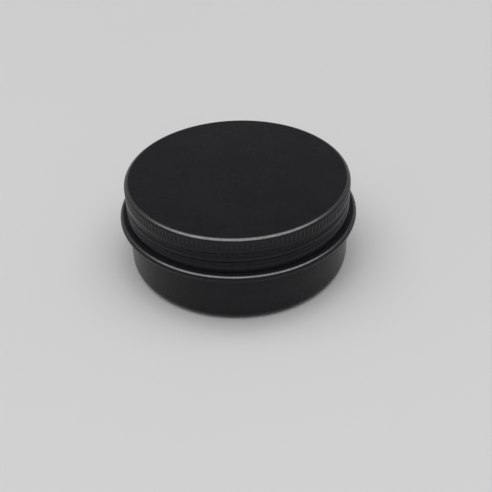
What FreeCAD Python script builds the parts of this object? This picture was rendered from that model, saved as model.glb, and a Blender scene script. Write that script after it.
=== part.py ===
import FreeCAD, Part
import math
import os
import re
import Sketcher
from FreeCAD import Rotation, Vector

# A small round screw-top tin in thin coated aluminium, 68 mm across and 27 mm tall.
#
# Three pieces stand on one vertical axis, with z = 0 at the plane the tin stands on:
#   tin_base   one drawn cup: raised bottom panel, wall, shoulder bead and a neck with a rolled thread
#   lid_liner  a foam disc that lies between the rim of the cup and the top of the lid
#   screw_lid  a flat-topped cap: knurled band, rolled thread and a skirt hemmed inwards
#
# The two threads are right-handed, have the same pitch and sit half a pitch apart, so that the lid
# clears the cup all along its screw path. Lengths are in millimetres.

SIZES = [
    # alias, size, what it measures
    ("tin_height", 27.0, "bottom plane to lid top"),
    ("base_sheet", 0.35, "sheet thickness of the cup"),
    ("wall_radius", 31.8, "outside of the cup wall"),
    ("corner_radius", 2.6, "outside bend between bottom and wall"),
    ("panel_radius", 28.0, "raised bottom panel"),
    ("panel_lift", 0.6, "height of the panel over the standing ring"),
    ("flange_radius", 34.0, "outermost circle of the shoulder bead"),
    ("flange_top", 16.65, "top of the shoulder bead"),
    ("bead_radius", 1.0, "outside roll of the shoulder bead"),
    ("root_radius", 0.4, "outside bends where the bead meets the wall and the neck"),
    ("neck_radius", 30.6, "outside of the neck between threads"),
    ("rim_top", 25.5, "top of the curled rim"),
    ("curl_radius", 0.5, "curl of the rim"),
    ("neck_crest", 31.2, "outside of the neck thread"),
    ("lid_sheet", 0.3, "sheet thickness of the lid"),
    ("lid_radius", 31.9, "outside of the lid skirt"),
    ("edge_radius", 1.3, "outside bend between lid top and skirt"),
    ("skirt_gap", 0.15, "skirt hem to shoulder bead"),
    ("hem_height", 1.0, "height of the folded hem"),
    ("lid_crest", 31.0, "inside of the lid thread"),
    ("thread_pitch", 2.6, "rise of either thread in one turn"),
    ("lid_turns", 1.6, "length of the lid thread"),
    ("neck_turns", 1.4, "length of the neck thread"),
    ("thread_round", 0.45, "crest radius on the convex side of either thread"),
    ("lid_thread_start", 18.8, "height at which the lid thread begins"),
    ("knurl_bottom", 24.0, "lower end of the knurled band"),
    ("knurl_depth", 0.18, "depth of a knurl notch"),
    ("knurl_width", 0.9, "width of a knurl notch at the skirt"),
    ("knurl_count", 156, "notches round the lid"),
    ("liner_radius", 30.7, "liner disc"),
    ("liner_thickness", 1.0, "liner disc"),
    ("seat_gap", 0.1, "liner to rim, and liner to lid"),
]

LEFT = 1
RIGHT = -1
HALF_CIRCLE_RISE = 1e-4  # an arc whose centre is this close to its chord is a half circle
OVERLAP = "0.1"  # how far the body of a thread ridge reaches into the sheet that it grows from


def make_sheet(doc):
    sheet = doc.addObject("Spreadsheet::Sheet", "Dims")
    for row, (alias, size, note) in enumerate(SIZES, start=1):
        sheet.set(f"A{row}", alias)
        sheet.set(f"B{row}", str(size))
        sheet.set(f"C{row}", note)
        sheet.setAlias(f"B{row}", alias)
    doc.recompute()
    return sheet


ALIASES = {alias for alias, _, _ in SIZES}


def bound(expression):
    """The expression with each alias written as a reference to the spreadsheet."""
    return re.sub(r"[a-z_]+", lambda word: f"Dims.{word[0]}" if word[0] in ALIASES else word[0], expression)


class Outline:
    """A closed outline in a sketch, every corner and arc of which is bound to the spreadsheet.

    Each stretch is (x, y) for a straight one that ends there, or (x, y, radius, turn) for an arc of
    at most half a circle that ends there and turns LEFT or RIGHT as the outline is followed.
    """

    def __init__(self, body, name, plane, height=None):
        doc = body.Document
        self.sheet = doc.getObject("Dims")
        self.sketch = body.newObject("Sketcher::SketchObject", name)
        self.sketch.AttachmentSupport = (origin_feature(body, plane), "")
        self.sketch.MapMode = "FlatFace"
        if height:
            self.sketch.setExpression(".AttachmentOffset.Base.z", bound(height))

    def value(self, expression):
        return float(self.sheet.evalExpression(bound(expression)))

    def point(self, stretch):
        return Vector(self.value(stretch[0]), self.value(stretch[1]), 0)

    def draw(self, stretches):
        starts = [stretches[-1]] + stretches[:-1]
        for start, stretch in zip(starts, stretches):
            self.add_stretch(start, stretch)
        for index, stretch in enumerate(stretches):
            self.join(index, (index + 1) % len(stretches), stretches)
        return self.sketch

    def add_stretch(self, start, stretch):
        begin = self.point(start)
        end = self.point(stretch)
        if len(stretch) == 2:
            self.sketch.addGeometry(Part.LineSegment(begin, end))
            return
        radius = self.value(stretch[2])
        turn = stretch[3]
        chord = end - begin
        middle = (begin + end) * 0.5
        rise = math.sqrt(max(radius ** 2 - (chord.Length / 2) ** 2, 0))
        side = Vector(-chord.y, chord.x, 0).normalize() * turn
        centre = middle + side * rise
        first, last = (begin, end) if turn == LEFT else (end, begin)
        angles = [math.atan2(p.y - centre.y, p.x - centre.x) for p in (first, last)]
        if angles[1] <= angles[0]:
            angles[1] += 2 * math.pi
        circle = Part.Circle(centre, Vector(0, 0, 1), radius)
        index = self.sketch.addGeometry(Part.ArcOfCircle(circle, *angles))
        if rise > HALF_CIRCLE_RISE:
            self.bind(Sketcher.Constraint("Radius", index, radius), stretch[2])
        elif abs(chord.x) < abs(chord.y):
            self.bind(Sketcher.Constraint("DistanceX", -1, 1, index, 3, centre.x), stretch[0])
        else:
            self.bind(Sketcher.Constraint("DistanceY", -1, 1, index, 3, centre.y), stretch[1])

    def bind(self, constraint, expression):
        index = self.sketch.addConstraint(constraint)
        self.sketch.setExpression(f"Constraints[{index}]", bound(expression))

    def join(self, index, following, stretches):
        """Close the corner at the end of one stretch and pin it where its expressions say."""
        end = 1 if len(stretches[index]) == 4 and stretches[index][3] == RIGHT else 2
        start = 2 if len(stretches[following]) == 4 and stretches[following][3] == RIGHT else 1
        self.sketch.addConstraint(Sketcher.Constraint("Coincident", index, end, following, start))
        for kind, expression in zip(("DistanceX", "DistanceY"), stretches[index]):
            place = self.value(expression)
            self.bind(Sketcher.Constraint(kind, -1, 1, index, end, place), expression)


def origin_feature(body, role):
    return next(feature for feature in body.Origin.OriginFeatures if feature.Role == role)


def revolve(body, sketch):
    feature = body.newObject("PartDesign::Revolution", f"{body.Name}_shell")
    feature.Profile = sketch
    feature.ReferenceAxis = (sketch, ["V_Axis"])
    feature.Angle = 360
    return feature


def roll_thread(body, kind, sketch, turns):
    """Sweep a thread section up the axis: kind adds or subtracts it."""
    feature = body.newObject(f"PartDesign::{kind}Helix", f"{sketch.Name}_sweep")
    feature.Profile = sketch
    feature.ReferenceAxis = (sketch, ["V_Axis"])
    feature.Mode = "pitch-turns-angle"
    feature.setExpression("Pitch", bound("thread_pitch"))
    feature.setExpression("Turns", bound(turns))
    feature.LeftHanded = False
    return feature


def thread_section(body, name, start, root, crest_centre, round_radius, outward):
    """A 45-degree ridge or groove section on the -X side: root is its open edge, start its height."""
    way = 1 if outward else -1
    turn = RIGHT if outward else LEFT
    half = f"({round_radius}) / sqrt(2)"
    flank = f"{crest_centre} + {way} * {half}"
    spread = f"{half} + {way} * ({flank} - ({root}))"
    outline = Outline(body, name, "XZ_Plane")
    return outline.draw([
        (f"-({root})", f"{start} - ({spread})"),
        (f"-({flank})", f"{start} - {half}"),
        (f"-({flank})", f"{start} + {half}", round_radius, turn),
        (f"-({root})", f"{start} + {spread}"),
    ])


def make_base(doc):
    body = doc.addObject("PartDesign::Body", "tin_base")
    body.Label = "tin_base"
    bend = "root_radius + base_sheet"
    bead_centre = "flange_radius - bead_radius"
    bead_bottom = "flange_top - 2 * bead_radius"
    neck_inside = "neck_radius - base_sheet"
    wall_inside = "wall_radius - base_sheet"
    curl_centre = "rim_top - curl_radius"
    curl_end = f"{curl_centre} - sqrt(curl_radius ^ 2 - (curl_radius - base_sheet) ^ 2)"
    slant = "(sqrt(2) - 1) * base_sheet"
    outside = [
        ("0", "panel_lift"),
        ("panel_radius", "panel_lift"),
        ("panel_radius + panel_lift", "0"),
        ("wall_radius - corner_radius", "0"),
        ("wall_radius", "corner_radius", "corner_radius", LEFT),
        ("wall_radius", f"{bead_bottom} - root_radius"),
        ("wall_radius + root_radius", bead_bottom, "root_radius", RIGHT),
        (bead_centre, bead_bottom),
        (bead_centre, "flange_top", "bead_radius", LEFT),
        ("neck_radius + root_radius", "flange_top"),
        ("neck_radius", "flange_top + root_radius", "root_radius", RIGHT),
        ("neck_radius", curl_centre),
    ]
    inside = [
        ("neck_radius - 2 * curl_radius", curl_centre, "curl_radius", LEFT),
        (neck_inside, curl_end, "curl_radius", LEFT),
        (neck_inside, "flange_top + root_radius"),
        ("neck_radius + root_radius", "flange_top - base_sheet", bend, LEFT),
        (bead_centre, "flange_top - base_sheet"),
        (bead_centre, f"{bead_bottom} + base_sheet", "bead_radius - base_sheet", RIGHT),
        ("wall_radius + root_radius", f"{bead_bottom} + base_sheet"),
        (wall_inside, f"{bead_bottom} - root_radius", bend, LEFT),
        (wall_inside, "corner_radius"),
        ("wall_radius - corner_radius", "base_sheet", "corner_radius - base_sheet", RIGHT),
        (f"panel_radius + panel_lift + {slant}", "base_sheet"),
        (f"panel_radius + {slant}", "panel_lift + base_sheet"),
        ("0", "panel_lift + base_sheet"),
    ]
    revolve(body, Outline(body, "base_section", "XZ_Plane").draw(outside + inside))

    start = "lid_thread_start + thread_pitch / 2"
    centre = "neck_crest - thread_round"
    ridge = thread_section(body, "neck_ridge", start, f"neck_radius - {OVERLAP}", centre,
                           "thread_round", True)
    roll_thread(body, "Additive", ridge, "neck_turns")
    groove = thread_section(body, "neck_groove", start, f"{neck_inside} - {OVERLAP}", centre,
                            "thread_round - base_sheet", True)
    roll_thread(body, "Subtractive", groove, "neck_turns")
    return body


def make_lid(doc):
    body = doc.addObject("PartDesign::Body", "screw_lid")
    body.Label = "screw_lid"
    inside = "lid_radius - lid_sheet"
    hem_inside = "lid_radius - 2 * lid_sheet"
    bottom = "flange_top + skirt_gap"
    under_top = "tin_height - lid_sheet"
    edge_centre = "lid_radius - edge_radius"
    edge_level = "tin_height - edge_radius"
    section = [
        ("0", under_top),
        (edge_centre, under_top),
        (inside, edge_level, "edge_radius - lid_sheet", RIGHT),
        (inside, f"{bottom} + hem_height"),
        (hem_inside, f"{bottom} + hem_height"),
        (hem_inside, f"{bottom} + lid_sheet"),
        ("lid_radius", f"{bottom} + lid_sheet", "lid_sheet", LEFT),
        ("lid_radius", edge_level),
        (edge_centre, "tin_height", "edge_radius", LEFT),
        ("0", "tin_height"),
    ]
    revolve(body, Outline(body, "lid_section", "XZ_Plane").draw(section))

    start = "lid_thread_start"
    centre = "lid_crest + thread_round"
    ridge = thread_section(body, "lid_ridge", start, f"{inside} + {OVERLAP}", centre,
                           "thread_round", False)
    roll_thread(body, "Additive", ridge, "lid_turns")
    groove = thread_section(body, "lid_groove", start, f"lid_radius + {OVERLAP}", centre,
                            "thread_round - lid_sheet", False)
    roll_thread(body, "Subtractive", groove, "lid_turns")
    knurl(body)
    return body


def knurl(body):
    """Cut V notches up the skirt, which run out on the rounded edge of the lid."""
    slope = "knurl_width / 2 / knurl_depth"
    mouth = f"knurl_width / 2 + {OVERLAP} * {slope}"
    notch = Outline(body, "knurl_notch", "XY_Plane", height="knurl_bottom").draw([
        ("lid_radius - knurl_depth", "0"),
        (f"lid_radius + {OVERLAP}", f"-({mouth})"),
        (f"lid_radius + {OVERLAP}", mouth),
    ])
    cut = body.newObject("PartDesign::Pocket", "knurl_cut")
    cut.Profile = notch
    cut.Reversed = True
    cut.setExpression("Length", bound("tin_height - knurl_bottom"))
    pattern = body.newObject("PartDesign::PolarPattern", "knurl_pattern")
    pattern.Originals = [cut]
    pattern.Axis = (origin_feature(body, "Z_Axis"), [""])
    pattern.Angle = 360
    pattern.setExpression("Occurrences", bound("knurl_count"))
    body.Tip = pattern


def make_liner(doc):
    body = doc.addObject("PartDesign::Body", "lid_liner")
    body.Label = "lid_liner"
    sketch = body.newObject("Sketcher::SketchObject", "liner_circle")
    sketch.AttachmentSupport = (origin_feature(body, "XY_Plane"), "")
    sketch.MapMode = "FlatFace"
    sketch.setExpression(".AttachmentOffset.Base.z", bound("rim_top + seat_gap"))
    sketch.addGeometry(Part.Circle(Vector(0, 0, 0), Vector(0, 0, 1), 1))
    sketch.addConstraint(Sketcher.Constraint("Coincident", 0, 3, -1, 1))
    radius = sketch.addConstraint(Sketcher.Constraint("Radius", 0, 1))
    sketch.setExpression(f"Constraints[{radius}]", bound("liner_radius"))
    pad = body.newObject("PartDesign::Pad", "liner_disc")
    pad.Profile = sketch
    pad.setExpression("Length", bound("liner_thickness"))
    return body


def check(doc, bodies):
    for item in doc.Objects:
        if {"Invalid", "Error"} & set(item.State):
            raise RuntimeError(f"{item.Name} failed: {item.State}")
    for body in bodies:
        if body.Shape.isNull() or not body.Shape.isValid() or len(body.Shape.Solids) != 1:
            raise RuntimeError(f"{body.Label} is not one sound solid")


def main():
    doc = FreeCAD.newDocument("screw_top_tin")
    make_sheet(doc)
    bodies = [make_base(doc), make_liner(doc), make_lid(doc)]
    doc.recompute()
    check(doc, bodies)
    os.makedirs("parts", exist_ok=True)
    for body in bodies:
        body.Shape.exportStep(f"parts/{body.Label}.step")
        box = body.Shape.BoundBox
        print(f"{body.Label}: {body.Shape.Volume:.1f} mm3, {len(body.Shape.Faces)} faces, "
              f"z {box.ZMin:.2f} to {box.ZMax:.2f}, radius {box.XMax:.2f}")


main()
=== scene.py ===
"""Visual model of a small round screw-top tin: coated aluminium cup, foam liner and screw lid.

Each metal piece is one sheet, built as rings of vertices round the axis. Its section is worked out from
the size of the CAD node it stands for, and its thread and knurl push the rings in and out. The sections
are in millimetres; everything Blender is given is in metres.
"""

import math

import bpy
import numpy as np
from mathutils import Matrix, Vector


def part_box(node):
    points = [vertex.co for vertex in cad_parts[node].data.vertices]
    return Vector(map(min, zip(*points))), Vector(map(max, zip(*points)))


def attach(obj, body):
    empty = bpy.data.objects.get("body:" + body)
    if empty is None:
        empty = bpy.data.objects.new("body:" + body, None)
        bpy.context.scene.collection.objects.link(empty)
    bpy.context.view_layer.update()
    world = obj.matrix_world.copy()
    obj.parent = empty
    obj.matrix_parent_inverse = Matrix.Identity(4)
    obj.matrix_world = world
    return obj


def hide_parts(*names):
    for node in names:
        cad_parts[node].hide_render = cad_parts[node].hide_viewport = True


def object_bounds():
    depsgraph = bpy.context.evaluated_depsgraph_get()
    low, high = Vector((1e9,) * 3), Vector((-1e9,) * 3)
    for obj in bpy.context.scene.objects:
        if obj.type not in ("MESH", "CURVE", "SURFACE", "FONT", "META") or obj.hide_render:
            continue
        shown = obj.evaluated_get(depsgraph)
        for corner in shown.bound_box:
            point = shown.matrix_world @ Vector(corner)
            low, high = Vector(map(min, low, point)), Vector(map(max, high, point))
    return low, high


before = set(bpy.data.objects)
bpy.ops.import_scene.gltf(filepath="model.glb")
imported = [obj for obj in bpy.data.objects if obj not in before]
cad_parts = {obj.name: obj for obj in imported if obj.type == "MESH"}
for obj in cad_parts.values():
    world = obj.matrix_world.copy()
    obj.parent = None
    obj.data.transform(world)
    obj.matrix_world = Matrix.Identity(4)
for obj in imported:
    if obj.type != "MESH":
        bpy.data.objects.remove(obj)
cad_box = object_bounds()

MM = 0.001
FULL_TURN = 2 * math.pi


def span(node):
    """Outer radius, lowest and highest point of a CAD node, in millimetres."""
    low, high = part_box(node)
    return (high.x - low.x) / 2 / MM, low.z / MM, high.z / MM


FLANGE_RADIUS, _, RIM_TOP = span("tin_base")
LID_RADIUS, SKIRT_BOTTOM, LID_TOP = span("screw_lid")
LINER_RADIUS, LINER_BOTTOM, LINER_TOP = span("lid_liner")

SEGMENTS = 416  # vertices in a plain ring
KNURL_FINENESS = 3  # how many times finer a knurled ring is, which gives each notch eight vertices
COAT = 0  # material index of the black coating
METAL = 1  # material index of the lacquered metal inside

BASE_SHEET = 0.35
WALL_RADIUS = FLANGE_RADIUS - 2.2
NECK_RADIUS = FLANGE_RADIUS - 3.4
SKIRT_GAP = 0.15  # between the closed lid's skirt and the bead it stops above
FLANGE_TOP = SKIRT_BOTTOM - SKIRT_GAP
CORNER_RADIUS = 2.6
PANEL_RADIUS = 28.0
PANEL_LIFT = 0.6
PANEL_BEND = 1.0  # width of the step at the panel's edge
PANEL_POINTS = 10
BEAD_RADIUS = 1.0
BEAD_CENTRE = (FLANGE_RADIUS - BEAD_RADIUS, FLANGE_TOP - BEAD_RADIUS)
ROOT_RADIUS = 0.4
CURL_RADIUS = 0.5

LID_SHEET = 0.3
EDGE_RADIUS = 1.3
EDGE_CENTRE = (LID_RADIUS - EDGE_RADIUS, LID_TOP - EDGE_RADIUS)
HEM_HEIGHT = 1.0

PITCH = 2.6
LID_THREAD_TURNS = 1.6
NECK_THREAD_TURNS = 1.4
THREAD_HALF_WIDTH = 1.15
THREAD_BEGINS = math.pi  # angle from +X
THREAD_RUN_OUT = math.radians(35)
LID_THREAD_BOTTOM = SKIRT_BOTTOM + 2.0
LID_THREAD_DEPTH = 0.45
NECK_THREAD_BOTTOM = LID_THREAD_BOTTOM + PITCH / 2
NECK_THREAD_HEIGHT = 0.6

KNURL_COUNT = 156
KNURL_BOTTOM = LID_TOP - 3.0
KNURL_TOP = LID_TOP - 0.7
KNURL_DEPTH = 0.2
KNURL_RUN_IN = 0.3
KNURL_RUN_OUT = 0.8
KNURL_BEND = 32  # degrees of the lid's rounded edge that the knurl reaches over
KNURL_SHARPNESS = 1.5  # above 1, the notches are narrower than the ribs between them

LINER_ROUNDING = 0.25
RIM_CIRCLE = NECK_RADIUS - CURL_RADIUS  # where the middle of the curled rim presses on the liner
DENT_DEPTH = 0.12
DENT_WIDTH = 0.35
DENT_INSIDE = 1.5  # how far inwards and outwards of the rim circle the dent has points of its own
DENT_OUTSIDE = 0.35
DENT_POINTS = 12

EDGE_HIGHLIGHT_BAND = (45, 85)  # degrees of the bead and of the lid's edge that get a painted highlight, a greyer and more metallic band under the soft box's reflection
HIGHLIGHT_FADE = 20  # degrees
FOOT_RUB_HEIGHT = 0.35
KNURL_RUB = 0.34
HEM_RUB = 0.4
SHARP_ANGLE = 55  # degrees between two faces that meet in a crisp edge


# ------------------------------------------------------------------------------- rings and sections

class Section:
    """The outline of one sheet, from the axis along its outside, over its edge and back inside.

    Each point has a zone, which says how the ring through it is pushed in or out and how much it is
    rubbed or given a painted highlight, and each stretch between two points has a material slot.
    """

    def __init__(self, start):
        self.points = [start]
        self.zones = ["plain"]
        self.slots = []
        self.zone = "plain"
        self.slot = COAT

    def add(self, point):
        self.points.append(point)
        self.zones.append(self.zone)
        self.slots.append(self.slot)

    def straight(self, end, step):
        """A straight run of points about a step apart."""
        start = self.points[-1]
        count = max(1, round(math.dist(start, end) / step))
        for i in range(1, count + 1):
            part = i / count
            self.add((start[0] + (end[0] - start[0]) * part, start[1] + (end[1] - start[1]) * part))

    def arc(self, centre, radius, first, last, count):
        """An arc between two angles in degrees, whose first point the outline has already reached."""
        for i in range(1, count + 1):
            angle = math.radians(first + (last - first) * i / count)
            self.add((centre[0] + radius * math.cos(angle), centre[1] + radius * math.sin(angle)))


def smooth_step(value):
    """0 below 0, 1 above 1 and a smooth rise between."""
    value = np.clip(value, 0, 1)
    return value * value * (3 - 2 * value)


def thread(angles, height, bottom, turns):
    """How far a rolled thread stands out, from 0 to 1, round a ring at a height."""
    swell = np.zeros_like(angles)
    turned = (angles - THREAD_BEGINS) % FULL_TURN
    for turn in range(math.ceil(turns)):
        along = turned + turn * FULL_TURN
        centre = bottom + PITCH * along / FULL_TURN
        offset = np.clip(np.abs(height - centre) / THREAD_HALF_WIDTH, 0, 1)
        left = turns * FULL_TURN - along
        ends = smooth_step(along / THREAD_RUN_OUT) * smooth_step(left / THREAD_RUN_OUT)
        swell = np.maximum(swell, ends * np.cos(offset * math.pi / 2) ** 2)
    return swell


def knurl(angles, height):
    """How deep a knurl notch is, from 0 to 1, round a ring at a height."""
    begun = smooth_step((height - KNURL_BOTTOM) / KNURL_RUN_IN)
    left = smooth_step((KNURL_TOP - height) / KNURL_RUN_OUT)
    return begun * left * (0.5 + 0.5 * np.cos(KNURL_COUNT * angles)) ** KNURL_SHARPNESS


def edge_highlight(radius, height, centre):
    """How much painted highlight a point of a rounded edge gets, from 0 to 1, fading out at the ends of its
    band of angles.
    """
    angle = math.degrees(math.atan2(height - centre[1], radius - centre[0]))
    start, end = EDGE_HIGHLIGHT_BAND
    begun = smooth_step((angle - start) / HIGHLIGHT_FADE + 0.5)
    left = smooth_step((end - angle) / HIGHLIGHT_FADE + 0.5)
    return float(begun * left)


def vertex(radius, angle, height):
    """A vertex in metres, from a radius and a height in millimetres."""
    return Vector((radius * math.cos(angle) * MM, radius * math.sin(angle) * MM, height * MM))


def ring_mesh(name, section, radii_at, rub_and_highlight_at):
    """A closed mesh of rings, one for each point of the section off the axis, and a pole at each end.

    radii_at gives a ring's radii, and the second function gives how much the ring is rubbed or given a
    painted highlight.
    """
    verts = [vertex(0, 0, section.points[0][1])]
    rub_and_highlight = [0.0]
    rings = []
    for (radius, height), zone in zip(section.points[1:-1], section.zones[1:-1]):
        count = SEGMENTS * KNURL_FINENESS if zone == "knurl" else SEGMENTS
        angles = np.arange(count) * FULL_TURN / count
        radii = radii_at(zone, angles, radius, height)
        rings.append(range(len(verts), len(verts) + count))
        verts += [vertex(*polar, height) for polar in zip(radii, angles)]
        rub_and_highlight += list(rub_and_highlight_at(zone, radii, radius, height) * np.ones(count))
    verts.append(vertex(0, 0, section.points[-1][1]))
    rub_and_highlight.append(0.0)
    faces, slots = ring_faces(rings, section.slots)

    mesh = bpy.data.meshes.new(name)
    mesh.from_pydata(verts, [], faces)
    mesh.polygons.foreach_set("material_index", slots)
    mesh.shade_smooth()
    mesh.set_sharp_from_angle(angle=math.radians(SHARP_ANGLE))
    mesh.attributes.new("rub_and_highlight", "FLOAT", "POINT").data.foreach_set("value", rub_and_highlight)
    mesh.validate()
    piece = bpy.data.objects.new(name, mesh)
    bpy.context.scene.collection.objects.link(piece)
    return piece


def ring_faces(rings, slots):
    """Faces from the first pole over all the rings to the last pole, and the material slot of each face."""
    stretches = [fan(rings[0][::-1], 0)]
    stretches += [bridge(lower, upper) for lower, upper in zip(rings, rings[1:])]
    stretches.append(fan(rings[-1], rings[-1][-1] + 1))
    faces = []
    face_slots = []
    for stretch, slot in zip(stretches, slots):
        faces += stretch
        face_slots += [slot] * len(stretch)
    return faces, face_slots


def fan(ring, pole):
    """Triangles between a ring and the vertex that closes it."""
    return [(ring[i], ring[(i + 1) % len(ring)], pole) for i in range(len(ring))]


def bridge(lower, upper):
    """Faces between two rings, one of which may have several times the vertices of the other."""
    faces = []
    few = min(len(lower), len(upper))
    for i in range(few):
        ends = []
        for ring in (lower, upper):
            step = len(ring) // few
            ends.append([ring[(i * step + part) % len(ring)] for part in range(step + 1)])
        faces.append(tuple(ends[0] + ends[1][::-1]))
    return faces


# ------------------------------------------------------------------------------------------- pieces

def cup_section():
    bead_bottom = FLANGE_TOP - 2 * BEAD_RADIUS
    corner = (WALL_RADIUS - CORNER_RADIUS, CORNER_RADIUS)
    wall_bend = (WALL_RADIUS + ROOT_RADIUS, bead_bottom - ROOT_RADIUS)
    neck_bend = (NECK_RADIUS + ROOT_RADIUS, FLANGE_TOP + ROOT_RADIUS)
    curl = (NECK_RADIUS - CURL_RADIUS, RIM_TOP - CURL_RADIUS)
    inner_bend = ROOT_RADIUS + BASE_SHEET
    tucked = math.degrees(math.acos((CURL_RADIUS - BASE_SHEET) / CURL_RADIUS))

    section = Section((0, PANEL_LIFT))
    section.straight((PANEL_RADIUS, PANEL_LIFT), 4)
    panel_step(section, 0, rising=False)
    section.zone = "foot"
    section.straight((corner[0], 0), 0.4)
    section.arc(corner, CORNER_RADIUS, -90, 0, 12)
    section.zone = "plain"
    section.straight((WALL_RADIUS, wall_bend[1]), 1.5)
    section.arc(wall_bend, ROOT_RADIUS, 180, 90, 6)
    section.straight((BEAD_CENTRE[0], bead_bottom), 0.4)
    section.zone = "bead"
    section.arc(BEAD_CENTRE, BEAD_RADIUS, -90, 90, 24)
    section.zone = "plain"
    section.straight((neck_bend[0], FLANGE_TOP), 0.5)
    section.arc(neck_bend, ROOT_RADIUS, 270, 180, 5)
    section.zone = "neck"
    section.straight((NECK_RADIUS, curl[1]), 0.16)
    section.zone = "plain"
    section.arc(curl, CURL_RADIUS, 0, 360 - tucked, 20)
    section.slot = METAL
    section.zone = "neck"
    section.straight((NECK_RADIUS - BASE_SHEET, neck_bend[1]), 0.3)
    section.zone = "plain"
    section.arc(neck_bend, inner_bend, 180, 270, 5)
    section.straight((BEAD_CENTRE[0], FLANGE_TOP - BASE_SHEET), 0.6)
    section.arc(BEAD_CENTRE, BEAD_RADIUS - BASE_SHEET, 90, -90, 10)
    section.straight((wall_bend[0], bead_bottom + BASE_SHEET), 0.4)
    section.arc(wall_bend, inner_bend, 90, 180, 6)
    section.straight((WALL_RADIUS - BASE_SHEET, CORNER_RADIUS), 1.5)
    section.arc(corner, CORNER_RADIUS - BASE_SHEET, 0, -90, 10)
    section.straight((PANEL_RADIUS + PANEL_BEND, BASE_SHEET), 0.4)
    panel_step(section, BASE_SHEET, rising=True)
    section.straight((0, PANEL_LIFT + BASE_SHEET), 4)
    return section


def panel_step(section, level, rising):
    """The S bend between the raised panel and the standing ring: outwards and down, or back up."""
    for i in range(1, PANEL_POINTS + 1):
        part = 1 - i / PANEL_POINTS if rising else i / PANEL_POINTS
        fall = smooth_step(part)
        section.add((PANEL_RADIUS + PANEL_BEND * part, level + PANEL_LIFT * (1 - fall)))


def build_cup(materials):
    def radii_at(zone, angles, radius, height):
        if zone != "neck":
            return np.full_like(angles, radius)
        return radius + NECK_THREAD_HEIGHT * thread(angles, height, NECK_THREAD_BOTTOM, NECK_THREAD_TURNS)

    def rub_and_highlight_at(zone, radii, radius, height):
        if zone == "foot":
            return math.exp(-((height / FOOT_RUB_HEIGHT) ** 2))
        # the bead's band is a painted highlight
        if zone == "bead":
            return edge_highlight(radius, height, BEAD_CENTRE)
        return (radii - radius) / NECK_THREAD_HEIGHT

    piece = ring_mesh("tin_cup", cup_section(), radii_at, rub_and_highlight_at)
    finish_piece(piece, "tin", "tin_base", materials)


def lid_section():
    inside = LID_RADIUS - LID_SHEET
    hem_top = SKIRT_BOTTOM + HEM_HEIGHT
    fold = (inside, SKIRT_BOTTOM + LID_SHEET)

    section = Section((0, LID_TOP - LID_SHEET))
    section.slot = METAL
    section.straight((EDGE_CENTRE[0], LID_TOP - LID_SHEET), 4)
    section.arc(EDGE_CENTRE, EDGE_RADIUS - LID_SHEET, 90, 0, 6)
    section.straight((inside, KNURL_BOTTOM), 0.5)
    section.zone = "skirt"
    section.straight((inside, hem_top), 0.25)
    section.zone = "plain"
    section.straight((inside - LID_SHEET, hem_top), 0.15)
    section.slot = COAT
    section.straight((inside - LID_SHEET, fold[1]), 0.35)
    section.zone = "hem"
    section.arc(fold, LID_SHEET, 180, 360, 8)
    section.zone = "skirt"
    section.straight((LID_RADIUS, KNURL_BOTTOM), 0.16)
    section.zone = "knurl"
    section.straight((LID_RADIUS, EDGE_CENTRE[1]), 0.15)
    section.arc(EDGE_CENTRE, EDGE_RADIUS, 0, KNURL_BEND, 6)
    section.zone = "edge"
    section.arc(EDGE_CENTRE, EDGE_RADIUS, KNURL_BEND, 90, 14)
    section.zone = "plain"
    section.straight((EDGE_CENTRE[0] - 0.2, LID_TOP), 0.1)  # close rings here keep the top's shading flat
    section.straight((0, LID_TOP), 4)
    return section


def build_lid(materials):
    def radii_at(zone, angles, radius, height):
        radii = np.full_like(angles, radius)
        if zone == "skirt":
            radii -= LID_THREAD_DEPTH * thread(angles, height, LID_THREAD_BOTTOM, LID_THREAD_TURNS)
        if zone == "knurl":
            radii -= KNURL_DEPTH * knurl(angles, height)
        return radii

    def rub_and_highlight_at(zone, radii, radius, height):
        # the lid's edge band is a painted highlight
        if zone == "edge":
            return edge_highlight(radius, height, EDGE_CENTRE)
        if zone == "knurl":
            return KNURL_RUB * (1 - (radius - radii) / KNURL_DEPTH)
        return HEM_RUB if zone == "hem" else 0.0

    piece = ring_mesh("tin_lid", lid_section(), radii_at, rub_and_highlight_at)
    finish_piece(piece, "lid", "screw_lid", materials)


def liner_section():
    """A disc with rounded edges and, in its underside, the dent that the rim presses."""
    corner = LINER_RADIUS - LINER_ROUNDING
    section = Section((0, LINER_BOTTOM))
    section.straight((RIM_CIRCLE - DENT_INSIDE, LINER_BOTTOM), 4)
    for i in range(1, DENT_POINTS + 1):
        offset = -DENT_INSIDE + (DENT_INSIDE + DENT_OUTSIDE) * i / DENT_POINTS
        dent = DENT_DEPTH * math.exp(-((offset / DENT_WIDTH) ** 2))
        section.add((RIM_CIRCLE + offset, LINER_BOTTOM + dent))
    section.arc((corner, LINER_BOTTOM + LINER_ROUNDING), LINER_ROUNDING, -90, 0, 5)
    section.straight((LINER_RADIUS, LINER_TOP - LINER_ROUNDING), 0.2)
    section.arc((corner, LINER_TOP - LINER_ROUNDING), LINER_ROUNDING, 0, 90, 5)
    section.straight((0, LINER_TOP), 4)
    return section


def build_liner(material):
    def radii_at(zone, angles, radius, height):
        return np.full_like(angles, radius)

    def rub_and_highlight_at(zone, radii, radius, height):
        return 0.0

    piece = ring_mesh("liner_disc", liner_section(), radii_at, rub_and_highlight_at)
    finish_piece(piece, "liner", "lid_liner", [material])


def finish_piece(piece, body, node, materials):
    for material in materials:
        piece.data.materials.append(material)
    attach(piece, body)
    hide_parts(node)


# ---------------------------------------------------------------------------------------- materials

COAT_TINT = (0.97, 1.0, 1.14)
COAT_DARK = 0.0101  # the coat's darkest and lightest clouds
COAT_LIGHT = 0.0121
COAT_ROUGHNESS = 0.27
COAT_IOR = 1.45
COAT_SPECULAR = 0.2
WEAR_AND_HIGHLIGHT_GREY = 0.145  # grey, and so how much light is sent back, of the painted highlight on the bead and the lid's edge and of the worn foot, knurl, hem and thread crests


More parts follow.
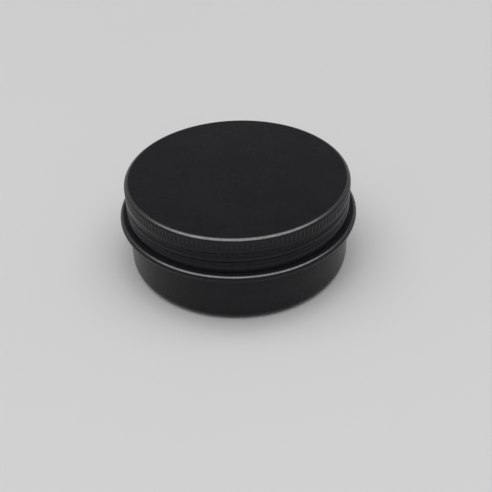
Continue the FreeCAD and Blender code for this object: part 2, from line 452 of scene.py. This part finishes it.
class Graph:
    """A material's node tree, with one short call for each node."""

    def __init__(self, name):
        self.material = bpy.data.materials.new(name)
        self.material.use_nodes = True
        self.tree = self.material.node_tree
        self.shader = self.tree.nodes["Principled BSDF"]
        self.place = self.node("ShaderNodeTexCoord").outputs["Object"]

    def node(self, kind, **settings):
        node = self.tree.nodes.new(kind)
        for key, value in settings.items():
            setattr(node, key, value)
        return node

    def feed(self, socket, value):
        """Link an output to a socket, or set the socket's own value."""
        if isinstance(value, bpy.types.NodeSocket):
            self.tree.links.new(value, socket)
        else:
            socket.default_value = value

    def noise(self, scale, detail=2.0, roughness=0.5, vector=None):
        """Noise with about this many features to the metre."""
        node = self.node("ShaderNodeTexNoise")
        self.feed(node.inputs["Vector"], vector or self.place)
        for key, value in (("Scale", scale), ("Detail", detail), ("Roughness", roughness)):
            self.feed(node.inputs[key], value)
        return node.outputs["Fac"]

    def stretch(self, scale, turn=0.0):
        """The object's coordinates, scaled along each axis and turned about Z."""
        node = self.node("ShaderNodeMapping")
        self.feed(node.inputs["Vector"], self.place)
        self.feed(node.inputs["Scale"], scale)
        self.feed(node.inputs["Rotation"], (0, 0, turn))
        return node.outputs["Vector"]

    def ramp(self, value, low, high, start=0.0, end=1.0):
        node = self.node("ShaderNodeMapRange", clamp=True)
        for key, number in (("Value", value), ("From Min", low), ("From Max", high),
                            ("To Min", start), ("To Max", end)):
            self.feed(node.inputs[key], number)
        return node.outputs["Result"]

    def math(self, operation, first, second):
        node = self.node("ShaderNodeMath", operation=operation)
        self.feed(node.inputs[0], first)
        self.feed(node.inputs[1], second)
        return node.outputs[0]

    def mix(self, part, first, second):
        node = self.node("ShaderNodeMix", data_type="RGBA")
        self.feed(node.inputs["Factor"], part)
        self.feed(node.inputs["A"], first)
        self.feed(node.inputs["B"], second)
        return node.outputs["Result"]

    def bump(self, height, strength, distance, normal=None):
        node = self.node("ShaderNodeBump")
        self.feed(node.inputs["Height"], height)
        self.feed(node.inputs["Strength"], strength)
        self.feed(node.inputs["Distance"], distance)
        if normal:
            self.feed(node.inputs["Normal"], normal)
        return node.outputs["Normal"]

    def set(self, **values):
        """Feed the shader's own sockets, whose names are written with underscores for spaces."""
        for key, value in values.items():
            self.feed(self.shader.inputs[key.replace("_", " ")], value)


def grey(level, warmth=0.0):
    return (level * (1 + warmth), level, level * (1 - warmth), 1)


def coat_colour(level):
    return tuple(level * part for part in COAT_TINT) + (1,)


def coat_material():
    """Satin black lacquer with a fine grain and faint scuffs. It is worn down to dark metal on the foot,
    knurl, hem and thread crests, and the bead and the lid's edge carry a painted highlight, a greyer and
    more metallic band.
    """
    graph = Graph("satin_black_coat")
    grain = graph.noise(5200, detail=3)
    peel = graph.noise(1400, detail=1)
    cloud = graph.noise(70, detail=4, roughness=0.6)
    hair = graph.noise(1, detail=1, vector=graph.stretch((90, 6500, 90), turn=0.7))
    cross = graph.noise(1, detail=1, vector=graph.stretch((5200, 80, 80), turn=0.25))
    patch = graph.ramp(graph.noise(160, detail=2), 0.5, 0.7)
    scuff = graph.math("MULTIPLY", graph.ramp(graph.math("MAXIMUM", hair, cross), 0.72, 0.8), patch)

    # the attribute holds wear on the foot, knurl, hem and thread crests and the painted highlight on the
    # bead and the lid's edge
    rub_and_highlight = graph.node("ShaderNodeAttribute", attribute_name="rub_and_highlight").outputs["Fac"]
    breakup = graph.ramp(graph.noise(900, detail=4, roughness=0.65), 0.3, 0.6, 0.75, 1.0)
    wear_and_highlight = graph.math("MULTIPLY", graph.ramp(rub_and_highlight, 0.3, 0.9), breakup)

    black = graph.mix(graph.ramp(cloud, 0.35, 0.65), coat_colour(COAT_DARK), coat_colour(COAT_LIGHT))
    scuffed = graph.mix(graph.math("MULTIPLY", scuff, 0.5), black, grey(0.025))
    # greyer, more metallic coat: wear, and on the bead and the lid's edge a painted highlight
    colour = graph.mix(wear_and_highlight, scuffed, grey(WEAR_AND_HIGHLIGHT_GREY))
    rough = graph.ramp(cloud, 0.3, 0.7, COAT_ROUGHNESS - 0.015, COAT_ROUGHNESS + 0.02)
    rough = graph.math("ADD", rough, graph.math("MULTIPLY", scuff, 0.1))
    rough = graph.math("SUBTRACT", rough, graph.math("MULTIPLY", wear_and_highlight, 0.05))
    metal_share = graph.math("MULTIPLY", wear_and_highlight, 0.9)
    relief = graph.bump(grain, 0.3, 0.000005, graph.bump(peel, 0.25, 0.000008))
    graph.set(Base_Color=colour, Metallic=metal_share, Roughness=rough, Normal=relief)
    graph.set(IOR=COAT_IOR, Specular_IOR_Level=COAT_SPECULAR)
    return graph.material


def metal_material():
    """Bare aluminium under clear lacquer, with the fine rings that drawing and trimming leave."""
    graph = Graph("lacquered_aluminium")
    across = graph.node("ShaderNodeVectorMath", operation="LENGTH")
    graph.feed(across.inputs[0], graph.stretch((1, 1, 0)))
    apart = graph.node("ShaderNodeSeparateXYZ")
    graph.feed(apart.inputs["Vector"], graph.place)
    polar = graph.node("ShaderNodeCombineXYZ")
    graph.feed(polar.inputs["X"], across.outputs["Value"])
    graph.feed(polar.inputs["Z"], apart.outputs["Z"])
    rings = graph.noise(9000, detail=3, roughness=0.65, vector=polar.outputs["Vector"])
    cloud = graph.noise(90, detail=4)
    speck = graph.ramp(graph.noise(1800, detail=2), 0.66, 0.72)
    colour = graph.mix(graph.ramp(cloud, 0.3, 0.7), grey(0.70, 0.012), grey(0.78, 0.006))
    colour = graph.mix(graph.math("MULTIPLY", speck, 0.3), colour, grey(0.5, 0.02))
    rough = graph.ramp(rings, 0.3, 0.7, 0.24, 0.36)
    relief = graph.bump(rings, 0.25, 0.000006)
    graph.set(Base_Color=colour, Roughness=rough, Normal=relief, Metallic=1.0)
    return graph.material


def foam_material():
    """White closed-cell foam: a skin of small cells with pores between them, which are darkened with
    painted shade.
    """
    graph = Graph("closed_cell_foam")
    cells = graph.node("ShaderNodeTexVoronoi", feature="SMOOTH_F1")
    graph.feed(cells.inputs["Vector"], graph.place)
    graph.feed(cells.inputs["Scale"], 1700.0)
    distance = cells.outputs["Distance"]
    pores = graph.ramp(graph.noise(2600, detail=2), 0.62, 0.72)
    cloud = graph.noise(110, detail=3)
    colour = graph.mix(graph.ramp(cloud, 0.3, 0.7), grey(0.78, 0.01), grey(0.86, 0.006))
    # the pores are darkened: painted shade in the pits
    colour = graph.mix(graph.math("MULTIPLY", pores, 0.4), colour, grey(0.6, 0.015))
    domes = graph.ramp(distance, 0.0, 0.6, 1.0, 0.0)
    relief = graph.bump(graph.math("SUBTRACT", domes, pores), 0.5, 0.00004)
    rough = graph.ramp(cloud, 0.3, 0.7, 0.6, 0.72)
    graph.set(Base_Color=colour, Roughness=rough, Normal=relief)
    graph.set(Subsurface_Weight=0.1, Subsurface_Scale=0.0006)
    return graph.material


def floor_material():
    graph = Graph("pale_table")
    cloud = graph.noise(3, detail=3)
    colour = graph.mix(graph.ramp(cloud, 0.3, 0.7), grey(0.65), grey(0.67))
    graph.set(Base_Color=colour, Roughness=0.75, Specular_IOR_Level=0.25)
    return graph.material


# --------------------------------------------------------------------------- table, light and camera

SENSOR_WIDTH = 36  # mm
CAMERA_FOCAL = 56.42  # mm
CAMERA_DISTANCE = 0.2256
CAMERA_ELEVATION = 34.85  # degrees above the table
CAMERA_ROLL = -2.07
CAMERA_TILT = -2.51
CAMERA_PAN = -0.558
CLIP_START = 0.01
FLOOR_RADIUS = 2.5
FLOOR_DROP = 0.00002  # keeps the standing ring from lying in the floor's own plane
SWEEP_RADIUS = 3.5
SWEEP_SIDES = 96
SWEEP_STEP = 6  # degrees
BOX_SIZE = (6.6, 5.2)
BOX_PLACE = (-0.2, -0.7, 4.0)
BOX_POWER = 204
ROOM_LEVEL = 0.18


def build_floor():
    """A round floor that curves up into a wall far away, so that no view meets a hard horizon."""
    verts = [(0, 0, -FLOOR_DROP)]
    faces = []
    for degrees in range(0, 91, SWEEP_STEP):
        bend = math.radians(degrees)
        radius = FLOOR_RADIUS + SWEEP_RADIUS * math.sin(bend)
        height = SWEEP_RADIUS * (1 - math.cos(bend)) - FLOOR_DROP
        for side in range(SWEEP_SIDES):
            around = FULL_TURN * side / SWEEP_SIDES
            verts.append((radius * math.cos(around), radius * math.sin(around), height))
    for side in range(SWEEP_SIDES):
        after = (side + 1) % SWEEP_SIDES
        faces.append((0, 1 + side, 1 + after))
        for low in range(1, len(verts) - SWEEP_SIDES, SWEEP_SIDES):
            high = low + SWEEP_SIDES
            faces.append((low + side, high + side, high + after, low + after))

    mesh = bpy.data.meshes.new("table_top")
    mesh.from_pydata(verts, [], faces)
    mesh.shade_smooth()
    mesh.materials.append(floor_material())
    table = bpy.data.objects.new("table_top", mesh)
    bpy.context.scene.collection.objects.link(table)


def build_lights():
    """A wide soft box high overhead, a little towards the viewer, in an evenly dim room."""
    light = bpy.data.lights.new("soft_box", "AREA")
    light.shape = "RECTANGLE"
    light.size, light.size_y = BOX_SIZE
    light.energy = BOX_POWER
    lamp = bpy.data.objects.new("soft_box", light)
    lamp.location = BOX_PLACE
    bpy.context.scene.collection.objects.link(lamp)

    world = bpy.data.worlds.new("room")
    world.use_nodes = True
    bpy.context.scene.world = world
    world.node_tree.nodes["Background"].inputs["Color"].default_value = grey(ROOM_LEVEL)


def build_camera():
    middle = Vector((0, 0, (cad_box[0][2] + cad_box[1][2]) / 2))
    rise = math.radians(CAMERA_ELEVATION)
    place = middle + Vector((0, -math.cos(rise), math.sin(rise))) * CAMERA_DISTANCE
    look = (middle - place).to_track_quat("-Z", "Y").to_matrix().to_4x4()
    for angle, axis in ((CAMERA_ROLL, "Z"), (CAMERA_TILT, "X"), (CAMERA_PAN, "Y")):
        look = look @ Matrix.Rotation(math.radians(angle), 4, axis)
    data = bpy.data.cameras.new("view")
    data.lens = CAMERA_FOCAL
    data.sensor_width = SENSOR_WIDTH
    data.clip_start = CLIP_START
    camera = bpy.data.objects.new("view", data)
    camera.matrix_world = Matrix.Translation(place) @ look
    bpy.context.scene.collection.objects.link(camera)
    bpy.context.scene.camera = camera


coat = coat_material()
metal = metal_material()
build_cup([coat, metal])
build_liner(foam_material())
build_lid([coat, metal])
build_floor()
build_lights()
build_camera()
bpy.context.scene.view_settings.view_transform = "Standard"
